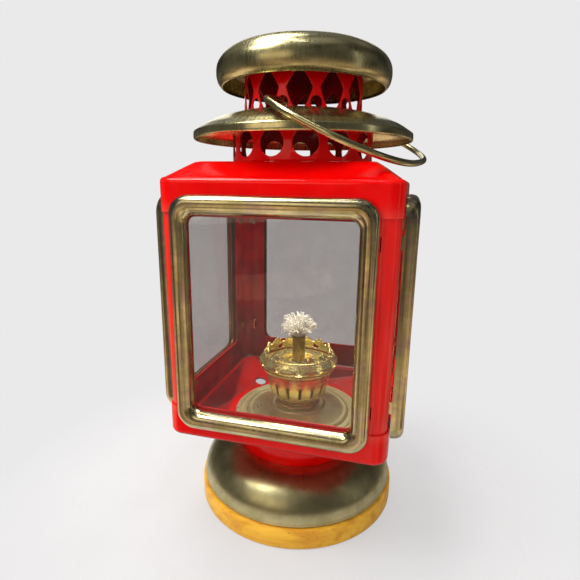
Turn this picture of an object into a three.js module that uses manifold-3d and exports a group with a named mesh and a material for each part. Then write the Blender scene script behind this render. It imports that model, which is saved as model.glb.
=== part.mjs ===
// An oil-burning carriage lantern: a square sheet-metal body with four glazed windows, a vented
// chimney stack with a swinging bail, and a round wooden foot. A brass font with a wick burner
// hangs in the neck of the foot and stands up inside the body.
// Units are millimetres. +Z is up, the front faces -Y, and the origin is the middle of the
// foot's underside. Azimuths are turned from the front towards +X.
import * as THREE from "three";
import { mergeVertices } from "three/addons/utils/BufferGeometryUtils.js";
import Module from "manifold-3d";

const wasm = await Module();
wasm.setup();

// ---- Driving dimensions ----
const SHEET = 0.8; // thickness of every pressed sheet
const GAP = 0.3; // clearance between pieces that rest on each other
const LATHE_STEPS = 32; // facets round a turned piece
const CORNER_STEPS = 7; // facets in a quarter turn of a pan

const FOOT_R = 64.4;
const FOOT_TOP = 13;
const BOSS_R = 61.4; // raised middle of the foot that the skirt is pushed over
const BOSS_TOP = 17;

const SKIRT_R = 62.8;
const SKIRT_TOP = 36.8;
const NECK_R = 38.4;
const NECK_BOTTOM = 33.8;

const BODY_HALF = 63; // half width over the two pans
const BODY_CORNER = 9;
const BAND_HEIGHT = 17.7; // upright wall of a pan
const PAN_EDGE_Z = { bottom: 61.7, roof: 207.2 }; // rounded outer edge of each pan
const PAN_FLAT_Z = { bottom: 53.7, roof: 215.4 }; // outer face of each pan's flat
const PAN_FLAT = { half: 49, bottomCorner: 49, roofCorner: 6 }; // round below, square above
const DRAIN_HOLE = { x: -38, y: 33, r: 4 };

const WINDOW_Z = 134.6; // middle height of the windows
const WINDOW_HALF = { w: 44.6, h: 53, r: 4 }; // opening in the sleeve
const SLEEVE_HALF = 62;
const SLEEVE_Z = [66, 201];

const BEZEL_INNER = { w: 43.6, h: 54.1, r: 5 };
const BEZEL_OUTER = { w: 53, h: 64.3, r: 10 };
const TAB_Z = 43; // height of a bezel's tabs above and below its middle
const TAB = { half: 3.5, reach: 5, slot: 0.3, inset: 1.1 };
const GLASS = { w: 49, h: 60, r: 3, thick: 1.6 };

const COLLAR = { r: 41.2, top: 240.9, holes: 14, holeR: 6.9, holeZ: 225.2, firstDeg: 16 };
const CANOPY_R = 63.7;
const CANOPY_RIM_Z = 228.5;
const RING = { r: 34.2, bottom: 240.8, top: 276.8, struts: 12, firstDeg: -5, waistZ: 252.9 };
const PIVOT_Z = 245.8; // height of the bail's holes in the ring
const PIVOT_HOLE_R = 2.9;
const CAP_TOP = 281.6;

const BAIL = { wireR: 1.85, halfWidth: 62.9, halfReach: 43, middle: 30.8, power: 2.6, steps: 44 };
const BAIL_REST = { hangDeg: -26, turnDeg: -8.65, skewDeg: -5, x: 1.9, z: 249 };

const FONT = { r: 36.2, bottom: 24, rimR: 42, rimZ: 54.7 };
const THREAD_R = 11; // bore of the font's collar
const BURNER_SLOTS = { count: 16, firstDeg: 17.5 }; // the winder shaft leaves between two of them
const CROWN_PRONGS = 12;
const WICK_R = 3.4;
const WICK_TUBE = { r: 4.3, bore: 3.8, bottom: 59, top: 108 };
const WINDER = { x: 6.3, z: 78, shaftR: 0.9, wheelR: 2.6, knobR: 5.5, knobY: 30 };

const deg = THREE.MathUtils.degToRad;

// ---- Materials ----
const paint = (color, roughness) => new THREE.MeshStandardMaterial({ color, roughness, metalness: 0.1 });
const metal = (color, roughness) => new THREE.MeshStandardMaterial({ color, roughness, metalness: 1 });
const redEnamel = () => paint(0xd40a08, 0.22);
const agedBrass = () => metal(0x9c8a55, 0.25);
const burnerBrass = () => metal(0xd0a94e, 0.28);
const fontBrass = () => metal(0xb59a5c, 0.35);
const steel = () => metal(0x8d8c88, 0.4);
const wood = () => new THREE.MeshStandardMaterial({ color: 0xe0a040, roughness: 0.45 });
const cotton = () => new THREE.MeshStandardMaterial({ color: 0xe9e2d0, roughness: 0.95 });
const glass = () =>
  new THREE.MeshStandardMaterial({ color: 0xdfe3e2, roughness: 0.05, transparent: true, opacity: 0.3 });

// ---- Solids ----
// A closed geometry as a solid: shared vertices merged, collapsed facets dropped, faces outwards.
function solid(geometry) {
  const bare = geometry.clone();
  for (const name of ["normal", "uv"]) bare.deleteAttribute(name);
  const merged = mergeVertices(bare, 1e-4);
  const position = merged.getAttribute("position");
  const corner = [0, 1, 2].map(() => new THREE.Vector3());
  const facets = [];
  let volume = 0;
  for (let i = 0; i < merged.index.count; i += 3) {
    const facet = [0, 1, 2].map((k) => merged.index.getX(i + k));
    if (new Set(facet).size < 3) continue;
    facet.forEach((vertex, k) => corner[k].fromBufferAttribute(position, vertex));
    volume += corner[0].dot(corner[1].clone().cross(corner[2]));
    facets.push(facet);
  }
  if (volume < 0) facets.forEach((facet) => facet.reverse());
  return new wasm.Manifold(
    new wasm.Mesh({
      numProp: 3,
      vertProperties: Float32Array.from(position.array),
      triVerts: Uint32Array.from(facets.flat()),
    }),
  );
}

// A solid back as a geometry.
function geometryOf(body) {
  const mesh = body.getMesh();
  return new THREE.BufferGeometry()
    .setAttribute("position", new THREE.BufferAttribute(Float32Array.from(mesh.vertProperties), 3))
    .setIndex(new THREE.BufferAttribute(Uint32Array.from(mesh.triVerts), 1));
}

const joined = (bodies) => bodies.reduce((all, body) => all.add(body));
const cut = (body, tools) => tools.reduce((left, tool) => left.subtract(tool), body);

// A turned piece from [radius, height] points. The outline closes on itself, unless it starts
// and ends on the axis.
function turned(outline, steps = LATHE_STEPS) {
  const points = outline.map(([r, z]) => new THREE.Vector2(r, z));
  if (outline[0][0] > 0) points.push(points[0].clone());
  return solid(new THREE.LatheGeometry(points, steps).rotateX(Math.PI / 2));
}

// A turned sheet: the outer outline, and the same outline moved inwards by [dr, dz] steps.
const turnedSheet = (outer, inner, steps) => turned([...outer, ...inner.reverse()], steps);

// A closed surface through rings of points, the last ring joined to the first.
function loft(rings) {
  const count = rings[0].length;
  const at = (ring, station) => (ring % rings.length) * count + (station % count);
  const index = [];
  rings.forEach((_, i) => {
    for (let j = 0; j < count; j++) {
      index.push(at(i, j), at(i, j + 1), at(i + 1, j));
      index.push(at(i, j + 1), at(i + 1, j + 1), at(i + 1, j));
    }
  });
  return solid(new THREE.BufferGeometry().setFromPoints(rings.flat()).setIndex(index));
}

// Points round a rectangle with rounded corners, as [x, y] pairs.
function roundedPoints(halfX, halfY, r, steps) {
  const points = [];
  for (let quarter = 0; quarter < 4; quarter++) {
    const middle = (quarter + 0.5) * (Math.PI / 2);
    for (let i = 0; i <= steps; i++) {
      const angle = (quarter + i / steps) * (Math.PI / 2);
      points.push([
        (halfX - r) * Math.sign(Math.cos(middle)) + r * Math.cos(angle),
        (halfY - r) * Math.sign(Math.sin(middle)) + r * Math.sin(angle),
      ]);
    }
  }
  return points;
}

const shapeOf = (points) => new THREE.Shape(points.map(([x, y]) => new THREE.Vector2(x, y)));

// An outline of [sideways, height] points pushed outwards from radius `from` by `depth`, at an azimuth.
function radialPrism(points, from, depth, azimuth = 0) {
  const geometry = new THREE.ExtrudeGeometry(shapeOf(points), { depth, bevelEnabled: false });
  return solid(geometry.rotateX(Math.PI / 2).translate(0, -from, 0).rotateZ(azimuth));
}

const circlePoints = (r, z, steps) =>
  Array.from({ length: steps }, (_, i) => {
    const angle = ((i + 0.5) / steps) * 2 * Math.PI;
    return [r * Math.cos(angle), z + r * Math.sin(angle)];
  });

const boxPoints = (x0, x1, z0, z1) => [
  [x0, z0],
  [x1, z0],
  [x1, z1],
  [x0, z1],
];

// One copy of `make(azimuth)` for each of `count` places round the axis, starting at `firstDeg`.
const around = (count, firstDeg, make) =>
  Array.from({ length: count }, (_, i) => make(deg(firstDeg + (i * 360) / count)));

// ---- Foot ----
function footDisc() {
  return turned([
    [0, 0],
    [FOOT_R - 0.8, 0],
    [FOOT_R, 0.8],
    [FOOT_R, FOOT_TOP - 0.6],
    [FOOT_R - 0.6, FOOT_TOP],
    [BOSS_R, FOOT_TOP],
    [BOSS_R, BOSS_TOP - 1],
    [BOSS_R - 1, BOSS_TOP],
    [0, BOSS_TOP],
  ]);
}

function skirt() {
  const hole = NECK_R + 0.4;
  const outer = [
    [SKIRT_R - 0.4, FOOT_TOP + GAP],
    [SKIRT_R, 16.5],
    [SKIRT_R - 1.2, 22],
    [SKIRT_R - 4.3, 27],
    [SKIRT_R - 8.8, 31.4],
    [SKIRT_R - 14.8, 34.8],
    [SKIRT_R - 20.2, SKIRT_TOP - 0.4],
    [hole, SKIRT_TOP - 0.3],
  ];
  const inner = [
    [SKIRT_R - 1.1, FOOT_TOP + GAP],
    [SKIRT_R - 1, 17.5],
    [SKIRT_R - 2.2, 22],
    [SKIRT_R - 5.1, 26.5],
    [SKIRT_R - 9.3, 30.7],
    [SKIRT_R - 15.1, 34],
    [SKIRT_R - 20.3, SKIRT_TOP - SHEET - 0.4],
    [hole, SKIRT_TOP - SHEET - 0.3],
  ];
  return turnedSheet(outer, inner);
}

function neck() {
  const top = PAN_FLAT_Z.bottom - GAP;
  const bore = NECK_R - SHEET - 0.1;
  return turned([
    [bore, NECK_BOTTOM],
    [NECK_R + 4.5, NECK_BOTTOM],
    [NECK_R + 4.5, NECK_BOTTOM + SHEET],
    [NECK_R, NECK_BOTTOM + SHEET],
    [NECK_R, top - SHEET - 1.5],
    [NECK_R + 1.5, top - SHEET],
    [NECK_R + 8, top - SHEET],
    [NECK_R + 8, top],
    [bore, top],
  ]);
}

// ---- Body ----
// A pressed pan: an upright band with rounded corners, a sloping face and a flat with a round hole.
// `up` is 1 for the roof, whose face rises, and -1 for the floor, whose face sinks.
function pan(edgeZ, flatZ, flatCorner, holeR, up) {
  const ring = (half, corner, z) =>
    roundedPoints(half, half, corner, CORNER_STEPS).map(([x, y]) => new THREE.Vector3(x, y, z));
  const bandEnd = edgeZ - up * BAND_HEIGHT;
  const inside = BODY_HALF - 0.7;
  const flat = (grow, z) => ring(PAN_FLAT.half + grow, flatCorner + grow, z);
  return loft([
    ring(BODY_HALF, BODY_CORNER, bandEnd),
    ring(BODY_HALF, BODY_CORNER, edgeZ - up * 3),
    ring(BODY_HALF - 0.9, BODY_CORNER - 0.5, edgeZ - up * 0.9),
    ring(BODY_HALF - 2.8, BODY_CORNER - 1.5, edgeZ + up * 0.3),
    flat(1, flatZ - up * 0.4),
    flat(-0.6, flatZ),
    ring(holeR, holeR, flatZ),
    ring(holeR, holeR, flatZ - up * 0.7),
    flat(-0.4, flatZ - up * 0.7),
    ring(inside - 2.2, BODY_CORNER - 2, edgeZ - up * 0.7),
    ring(inside - 0.6, BODY_CORNER - 1.1, edgeZ - up * 1.6),
    ring(inside, BODY_CORNER - 0.7, edgeZ - up * 3.2),
    ring(inside, BODY_CORNER - 0.7, bandEnd),
  ]);
}

function roofPan() {
  return pan(PAN_EDGE_Z.roof, PAN_FLAT_Z.roof, PAN_FLAT.roofCorner, COLLAR.r + 0.4, 1);
}

function bottomPan() {
  const drain = new THREE.CylinderGeometry(DRAIN_HOLE.r, DRAIN_HOLE.r, 20, 14).rotateX(Math.PI / 2);
  drain.translate(DRAIN_HOLE.x, DRAIN_HOLE.y, PAN_EDGE_Z.bottom - 4);
  const plain = pan(PAN_EDGE_Z.bottom, PAN_FLAT_Z.bottom, PAN_FLAT.bottomCorner, NECK_R - 0.6, -1);
  return cut(plain, [solid(drain)]);
}

// The body's sleeve: a square tube with a window in each side and slots for the bezels' tabs.
function sleeve() {
  const outline = shapeOf(roundedPoints(SLEEVE_HALF, SLEEVE_HALF, BODY_CORNER - 1, 6));
  const bore = SLEEVE_HALF - SHEET;
  outline.holes.push(shapeOf(roundedPoints(bore, bore, BODY_CORNER - 1 - SHEET, 6)));
  const [low, high] = SLEEVE_Z;
  const tube = new THREE.ExtrudeGeometry(outline, { depth: high - low, bevelEnabled: false });
  const { w, h, r } = WINDOW_HALF;
  const window = roundedPoints(w, h, r, 4).map(([x, z]) => [x, z + WINDOW_Z]);
  const side = BEZEL_OUTER.w;
  const tools = around(4, 0, (azimuth) => [
    radialPrism(window, SLEEVE_HALF - 4, 8, azimuth),
    ...[-1, 1].flatMap((left) =>
      [-1, 1].map((up) => {
        const z = WINDOW_Z + up * TAB_Z;
        const edges = [left * (side - SHEET - TAB.slot), left * (side + TAB.slot)].sort((a, b) => a - b);
        const slot = boxPoints(...edges, z - TAB.half - TAB.slot, z + TAB.half + TAB.slot);
        return radialPrism(slot, SLEEVE_HALF - 4, 8, azimuth);
      }),
    ),
  ]);
  return cut(solid(tube.translate(0, 0, low)), tools.flat());
}

// A window bezel for the front: a hollow half-round frame with four folded tabs.
// Each outline point is a share of the way from the inner edge to the outer edge, and a height
// over the pans' face.
function bezel() {
  const edge = (size) => roundedPoints(size.w, size.h, size.r, 3);
  const [inner, outer] = [edge(BEZEL_INNER), edge(BEZEL_OUTER)];
  const outline = [
    [1, GAP],
    [1, 2.6],
    [0.9, 5.4],
    [0.67, 7.3],
    [0.4, 7.3],
    [0.14, 5.4],
    [0, 2.4],
    [0.085, 2.4],
    [0.22, 5],
    [0.43, 6.5],
    [0.64, 6.5],
    [0.83, 5],
    [0.915, 2.4],
    [0.915, GAP],
  ];
  const frame = loft(
    outline.map(([share, height]) =>
      inner.map(([x, z], i) => {
        const across = THREE.MathUtils.lerp(x, outer[i][0], share);
        const upward = THREE.MathUtils.lerp(z, outer[i][1], share);
        return new THREE.Vector3(across, -BODY_HALF - height, upward + WINDOW_Z);
      }),
    ),
  );
  const fold = SLEEVE_HALF - SHEET - TAB.inset; // outer face of a folded tab, inside the sleeve
  const tab = (left, up) => {
    const z = WINDOW_Z + up * TAB_Z;
    const block = (width, from, to) => {
      const box = new THREE.BoxGeometry(width, to - from, 2 * TAB.half);
      const x = left * (BEZEL_OUTER.w - SHEET + width / 2);
      return solid(box.translate(x, -(from + to) / 2, z));
    };
    return block(SHEET, fold - SHEET, BODY_HALF + 1.5).add(block(TAB.reach, fold - SHEET, fold));
  };
  return joined([frame, tab(-1, -1), tab(-1, 1), tab(1, -1), tab(1, 1)]);
}

function pane() {
  const points = roundedPoints(GLASS.w, GLASS.h, GLASS.r, 3).map(([x, z]) => [x, z + WINDOW_Z]);
  return radialPrism(points, BODY_HALF + GAP, GLASS.thick);
}

// ---- Chimney stack ----
function ventCollar() {
  const flange = PAN_FLAT_Z.roof - 0.7 - GAP;
  const bore = COLLAR.r - SHEET;
  const tube = turned([
    [bore, flange - SHEET],
    [COLLAR.r + 4, flange - SHEET],
    [COLLAR.r + 4, flange],
    [COLLAR.r, flange],
    [COLLAR.r, COLLAR.top],
    [bore, COLLAR.top],
  ]);
  const hole = circlePoints(COLLAR.holeR, COLLAR.holeZ, 12);
  return cut(
    tube,
    around(COLLAR.holes, COLLAR.firstDeg, (azimuth) => radialPrism(hole, COLLAR.r - 4, 8, azimuth)),
  );
}

function canopy() {
  const hole = RING.r + 0.4;
  const rim = CANOPY_RIM_Z;
  const outer = [
    [CANOPY_R - 0.3, rim],
    [CANOPY_R, rim + 0.8],
    [CANOPY_R, rim + 3.6],
    [CANOPY_R - 1.4, rim + 5],
    [CANOPY_R - 6.5, rim + 8],
    [CANOPY_R - 14, rim + 11.4],
    [CANOPY_R - 22.5, rim + 13.8],
    [hole, rim + 15],
  ];
  const inner = [
    [CANOPY_R - 1, rim],
    [CANOPY_R - 0.9, rim + 0.9],
    [CANOPY_R - 0.9, rim + 3.3],
    [CANOPY_R - 2, rim + 4.3],
    [CANOPY_R - 6.9, rim + 7.2],
    [CANOPY_R - 14.3, rim + 10.6],
    [CANOPY_R - 22.7, rim + 13],
    [hole, rim + 14.2],
  ];
  return turnedSheet(outer, inner);
}

// The upper ring: struts shaped like an hourglass, each with a round hole in its lower half.
function ventRing() {
  const bore = RING.r - SHEET;
  const tube = turned(
    [
      [bore, RING.bottom],
      [RING.r + 4.2, RING.bottom],
      [RING.r + 4.2, RING.bottom + 0.7],
      [RING.r, RING.bottom + 0.7],
      [RING.r, RING.top],
      [bore, RING.top],
    ],
    36,
  );
  const pitch = (2 * Math.PI * RING.r) / RING.struts;
  const waist = 2.1; // half width of a strut at its narrowest
  const right = [
    [1.6, RING.waistZ - 11],
    [pitch / 2 - 5.9, RING.waistZ - 8],
    [pitch / 2 - 3.4, RING.waistZ - 4],
    [pitch / 2 - waist, RING.waistZ],
    [2, RING.waistZ + 7.6],
    [0.8, RING.waistZ + 8.6],
  ];
  const left = right.map(([x, z]) => [-x, z]).reverse();
  const opening = [...right, ...left];
  const hole = circlePoints(PIVOT_HOLE_R, PIVOT_Z, 8);
  const half = 180 / RING.struts;
  const prism = (points) => (azimuth) => radialPrism(points, RING.r - 4, 8, azimuth);
  return cut(tube, [
    ...around(RING.struts, RING.firstDeg + half, prism(opening)),
    ...around(RING.struts, RING.firstDeg, prism(hole)),
  ]);
}

function topCap() {
  const outer = [
    [47.4, CAP_TOP - 24.3],
    [49.3, CAP_TOP - 21.8],
    [50.1, CAP_TOP - 17.2],
    [49.2, CAP_TOP - 12.4],
    [45.7, CAP_TOP - 8],
    [39.3, CAP_TOP - 4.6],
    [28, CAP_TOP - 1.9],
    [14, CAP_TOP - 0.5],
    [0, CAP_TOP],
  ];
  const inner = [
    [46.7, CAP_TOP - 23.9],
    [48.4, CAP_TOP - 21.4],
    [49.2, CAP_TOP - 17.1],
    [48.4, CAP_TOP - 12.8],
    [45.1, CAP_TOP - 8.7],
    [39, CAP_TOP - 5.5],
    [27.8, CAP_TOP - 2.8],
    [14, CAP_TOP - 1.4],
    [0, CAP_TOP - 0.9],
  ];
  return turned([...outer.reverse(), ...inner]);
}

// The bail's centre line at rest. Its loop lies in a plane through a line that is turned, skewed
// and raised a little from the pivot line, because the wire is bent by hand.
function bailLine() {
  const pivot = deg(RING.firstDeg);
  const hook = (radius) =>
    new THREE.Vector3(Math.sin(pivot) * radius, -Math.cos(pivot) * radius, PIVOT_Z);
  const [turn, skew, hang] = [BAIL_REST.turnDeg, BAIL_REST.skewDeg, BAIL_REST.hangDeg].map(deg);
  const along = new THREE.Vector3(
    Math.sin(turn) * Math.cos(skew),
    -Math.cos(turn) * Math.cos(skew),
    Math.sin(skew),
  );
  const side = new THREE.Vector3(Math.cos(turn), Math.sin(turn), 0);
  const upward = side.clone().cross(along).negate();
  const out = side.clone().multiplyScalar(Math.cos(hang)).addScaledVector(upward, Math.sin(hang));
  const start = Math.asin(BAIL.middle / BAIL.halfReach) * 0.9;
  const loop = [];
  const count = 22;
  for (let i = 0; i <= count; i++) {
    const angle = -start + ((Math.PI + 2 * start) * i) / count;
    const power = (value) => Math.sign(value) * Math.abs(value) ** (2 / BAIL.power);
    loop.push(
      new THREE.Vector3(BAIL_REST.x, 0, BAIL_REST.z)
        .addScaledVector(along, BAIL.halfWidth * power(Math.cos(angle)))
        .addScaledVector(out, BAIL.middle + BAIL.halfReach * power(Math.sin(angle))),
    );
  }
  return [hook(30.5), hook(34), hook(37.5), ...loop, hook(-37.5), hook(-34), hook(-30.5)];
}

function bail() {
  const section = shapeOf(circlePoints(BAIL.wireR, 0, 8));
  const path = new THREE.CatmullRomCurve3(bailLine(), false, "centripetal");
  return solid(new THREE.ExtrudeGeometry(section, { steps: BAIL.steps, extrudePath: path }));
}

// ---- Font ----
function fontBowl() {
  const { r, bottom, rimZ } = FONT;
  const top = rimZ - GAP;
  return turned([
    [0, bottom + 1],
    [r - 4, bottom + 1],
    [r - 1, bottom + 4],
    [r - 0.9, top],
    [r, top],
    [r, bottom + 3.6],
    [r - 3.6, bottom],
    [0, bottom],
  ]);
}

function fontTop() {
  const { rimR, rimZ } = FONT;
  const hole = 13.2;
  const outer = [
    [rimR, rimZ + 0.1],
    [rimR - 0.8, rimZ + 1.1],
    [33.6, rimZ + 1.1],
    [32.5, rimZ + 1.9],
    [30.5, rimZ + 2],
    [24, rimZ + 4.1],
    [16, rimZ + 6],
    [hole, rimZ + 6.3],
  ];
  const inner = [
    [rimR, rimZ],
    [33.4, rimZ],
    [31.8, rimZ + 1],
    [30.3, rimZ + 1.1],
    [23.8, rimZ + 3.2],
    [15.9, rimZ + 5.1],
    [hole, rimZ + 5.4],
  ];
  return turnedSheet(outer, inner);
}

function fontCollar() {
  const seat = FONT.rimZ + 6.3 + GAP;
  return turned(
    [
      [THREAD_R, seat - 2.5],
      [12.8, seat - 2.5],
      [12.8, seat],
      [14.6, seat],
      [14.6, seat + 0.8],
      [13.6, seat + 1.1],
      [13.6, seat + 1.8],
      [THREAD_R, seat + 1.8],
    ],
    32,
  );
}

// ---- Burner ----
function burnerBase() {
  const hole = WICK_TUBE.r + GAP;
  return turned(
    [
      [hole, 59.5],
      [THREAD_R - 0.4, 59.5],
      [THREAD_R - 0.4, 63.4],
      [13, 63.4],
      [13, 64.2],
      [hole, 64.2],
    ],
    32,
  );
}

function burnerBowl() {
  const outer = [
    [11.4, 64.5],
    [12.9, 64.7],
    [17.6, 68.4],
    [19.9, 75.5],
    [21.6, 85.4],
  ];
  const inner = outer.map(([r, z], i) => [r - (i < 2 ? 0.4 : 0.7), z + (i < 2 ? 0.6 : 0)]);
  const slot = boxPoints(-0.9, 0.9, 69, 78);
  const { count, firstDeg } = BURNER_SLOTS;
  const slots = around(count, firstDeg, (azimuth) => radialPrism(slot, 14, 9, azimuth));
  const bearing = circlePoints(WINDER.shaftR + GAP, WINDER.z, 10).map(([x, z]) => [x - WINDER.x, z]);
  return cut(turnedSheet(outer, inner, 32), [...slots, radialPrism(bearing, 14, 9, Math.PI)]);
}

function burnerRim() {
  return turned([
    [21.9, 85.5],
    [22.9, 85.7],
    [25.4, 88],
    [25, 89.4],
    [23.6, 89.4],
    [21.9, 86.6],
  ]);
}

function burnerDeck() {
  const hole = WICK_TUBE.r + GAP;
  const plate = turnedSheet(
    [
      [21.4, 87.3],
      [17, 88.6],
      [8, 88.6],
      [hole, 90],
    ],
    [
      [21.4, 86.6],
      [17, 87.9],
      [8, 87.9],
      [hole, 89.3],
    ],
    32,
  );
  const vents = around(10, 0, (azimuth) => {
    const vent = new THREE.CylinderGeometry(1.4, 1.4, 6, 8).rotateX(Math.PI / 2);
    return solid(vent.translate(0, -12.5, 88.2).rotateZ(azimuth));
  });
  return cut(plate, vents);
}

function burnerCrown() {
  const outer = [
    [25.4, 89.8],
    [26.1, 91],
    [25.2, 93],
    [22.9, 95.8],
    [21.6, 98],
    [21, 101],
  ];
  const inner = outer.map(([r, z]) => [r - 0.8, z]);
  const slot = boxPoints(-1, 1, 96, 102);
  const eye = circlePoints(1.7, 95.6, 6);
  const tools = around(CROWN_PRONGS, 15, (azimuth) => [
    radialPrism(slot, 19, 9, azimuth),
    radialPrism(eye, 19, 9, azimuth),
  ]);
  return cut(turnedSheet(outer, inner, 24), tools.flat());
}

function wickTube() {
  const { r, bore, bottom, top } = WICK_TUBE;
  const tube = turned(
    [
      [bore, bottom],
      [r, bottom],
      [r, top],
      [bore, top],
    ],
    20,
  );
  const slot = boxPoints(-1.2, 1.2, WINDER.z - 3.2, WINDER.z + 3.2);
  return cut(tube, [radialPrism(slot, 1, 4, Math.PI / 2)]);
}

function wickPiece() {
  const { top } = WICK_TUBE;
  return turned(
    [
      [0, FONT.bottom + 3],
      [WICK_R, FONT.bottom + 3],
      [WICK_R, top + GAP],
      [6, top + 2],
      [10.4, top + 5.5],
      [11.5, top + 9],
      [9.4, top + 13],
      [5, top + 15.6],
      [0, top + 16],
    ],
    16,
  );
}

// The winder's pieces are made round a shaft that runs along Y, then moved to its place.
const onWinder = (geometry) => geometry.translate(WINDER.x, 0, WINDER.z);

function toothed(count, high, low, thick) {
  const points = Array.from({ length: 2 * count }, (_, i) => {
    const angle = (i / count) * Math.PI;
    const r = i % 2 ? low : high;
    return [r * Math.cos(angle), r * Math.sin(angle)];
  });
  const disc = new THREE.ExtrudeGeometry(shapeOf(points), { depth: thick, bevelEnabled: false });
  return disc.rotateX(Math.PI / 2);
}

function winderShaft() {
  const [from, to] = [-3, WINDER.knobY - 0.2];
  const rod = new THREE.CylinderGeometry(WINDER.shaftR, WINDER.shaftR, to - from, 12);
  return solid(onWinder(rod.translate(0, (from + to) / 2, 0)));
}

function winderWheel() {
  const bore = new THREE.CylinderGeometry(WINDER.shaftR + 0.1, WINDER.shaftR + 0.1, 6, 12);
  const wheel = toothed(10, WINDER.wheelR, WINDER.wheelR - 0.7, 2).translate(0, 1, 0);
  return cut(solid(onWinder(wheel)), [solid(onWinder(bore))]);
}

function winderKnob() {
  const disc = toothed(18, WINDER.knobR, WINDER.knobR - 0.5, 2.4).translate(0, WINDER.knobY + 2.4, 0);
  const hub = new THREE.CylinderGeometry(3, 3.4, 1.6, 16).translate(0, WINDER.knobY + 3, 0);
  return solid(onWinder(disc)).add(solid(onWinder(hub)));
}

// ---- Scene graph ----
const lantern = new THREE.Group();

function piece(parent, name, body, material, azimuth = 0) {
  const mesh = new THREE.Mesh(geometryOf(body), material);
  mesh.name = name;
  mesh.rotation.z = azimuth;
  parent.add(mesh);
}

const foot = new THREE.Group();
piece(foot, "wood_base", footDisc(), wood());
piece(foot, "base_skirt", skirt(), agedBrass());
piece(foot, "base_neck", neck(), redEnamel());

const cage = new THREE.Group();
piece(cage, "bottom_pan", bottomPan(), redEnamel());
piece(cage, "body_sleeve", sleeve(), redEnamel());
["front", "right", "back", "left"].forEach((side, i) => {
  piece(cage, "window_bezel_" + side, bezel(), agedBrass(), deg(90 * i));
  piece(cage, "window_glass_" + side, pane(), glass(), deg(90 * i));
});

const roof = new THREE.Group();
piece(roof, "roof_pan", roofPan(), redEnamel());
piece(roof, "vent_collar", ventCollar(), redEnamel());
piece(roof, "canopy", canopy(), agedBrass());
piece(roof, "vent_ring", ventRing(), redEnamel());
piece(roof, "top_cap", topCap(), agedBrass());
piece(roof, "bail_handle", bail(), agedBrass());

const font = new THREE.Group();
piece(font, "font_bowl", fontBowl(), fontBrass());
piece(font, "font_top", fontTop(), fontBrass());
piece(font, "font_collar", fontCollar(), burnerBrass());

const burner = new THREE.Group();
piece(burner, "burner_base", burnerBase(), burnerBrass());
piece(burner, "burner_bowl", burnerBowl(), burnerBrass());
piece(burner, "burner_rim", burnerRim(), burnerBrass());
piece(burner, "burner_deck", burnerDeck(), burnerBrass());
piece(burner, "burner_crown", burnerCrown(), burnerBrass());
piece(burner, "wick_tube", wickTube(), burnerBrass());
piece(burner, "wick", wickPiece(), cotton());
piece(burner, "winder_shaft", winderShaft(), steel());
piece(burner, "winder_wheel", winderWheel(), burnerBrass());
piece(burner, "winder_knob", winderKnob(), burnerBrass());
font.add(burner);

lantern.add(foot, cage, roof, font);

export default lantern;
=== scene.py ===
# Looks of an oil-burning carriage lantern: red enamelled sheet, aged brass, four windows, a font
# and a wick burner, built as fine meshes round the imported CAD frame.
# Lengths are in millimetres until a mesh is made. Azimuths turn from the front (-Y) towards +X.
import math
import random

import bmesh
import bpy
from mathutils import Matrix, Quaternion, Vector, noise

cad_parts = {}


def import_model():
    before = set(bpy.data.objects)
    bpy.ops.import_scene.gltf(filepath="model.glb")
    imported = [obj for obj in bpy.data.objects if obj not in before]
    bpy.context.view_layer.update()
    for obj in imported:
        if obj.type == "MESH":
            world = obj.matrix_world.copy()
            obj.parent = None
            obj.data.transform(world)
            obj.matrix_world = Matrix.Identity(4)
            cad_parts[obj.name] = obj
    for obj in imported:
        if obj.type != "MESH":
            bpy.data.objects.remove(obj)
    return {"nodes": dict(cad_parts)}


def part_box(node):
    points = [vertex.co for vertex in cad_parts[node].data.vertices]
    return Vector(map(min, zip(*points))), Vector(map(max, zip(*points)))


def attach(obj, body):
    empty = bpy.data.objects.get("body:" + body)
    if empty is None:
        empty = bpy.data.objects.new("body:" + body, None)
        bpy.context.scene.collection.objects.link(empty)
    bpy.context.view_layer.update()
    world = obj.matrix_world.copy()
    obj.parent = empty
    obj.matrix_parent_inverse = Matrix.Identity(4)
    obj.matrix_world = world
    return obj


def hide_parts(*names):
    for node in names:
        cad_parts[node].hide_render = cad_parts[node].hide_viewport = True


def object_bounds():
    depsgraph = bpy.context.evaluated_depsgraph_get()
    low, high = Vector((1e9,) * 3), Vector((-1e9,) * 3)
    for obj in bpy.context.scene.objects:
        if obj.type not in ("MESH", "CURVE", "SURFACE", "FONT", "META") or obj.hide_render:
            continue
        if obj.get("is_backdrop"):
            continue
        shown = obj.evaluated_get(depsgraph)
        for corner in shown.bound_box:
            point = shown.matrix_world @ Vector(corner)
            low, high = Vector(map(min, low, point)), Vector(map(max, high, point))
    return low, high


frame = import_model()
cad_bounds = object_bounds()
scene = bpy.context.scene

MM = 0.001
TURN_STEPS = 168  # stations round a turned piece
SHEET = 0.8  # pressed sheet
CREASE_DEG = 38  # edges sharper than this stay sharp
SIDES = {"front": 0, "right": 90, "back": 180, "left": 270}
BACKDROP = (0.83, 0.82, 0.825, 1)

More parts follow.
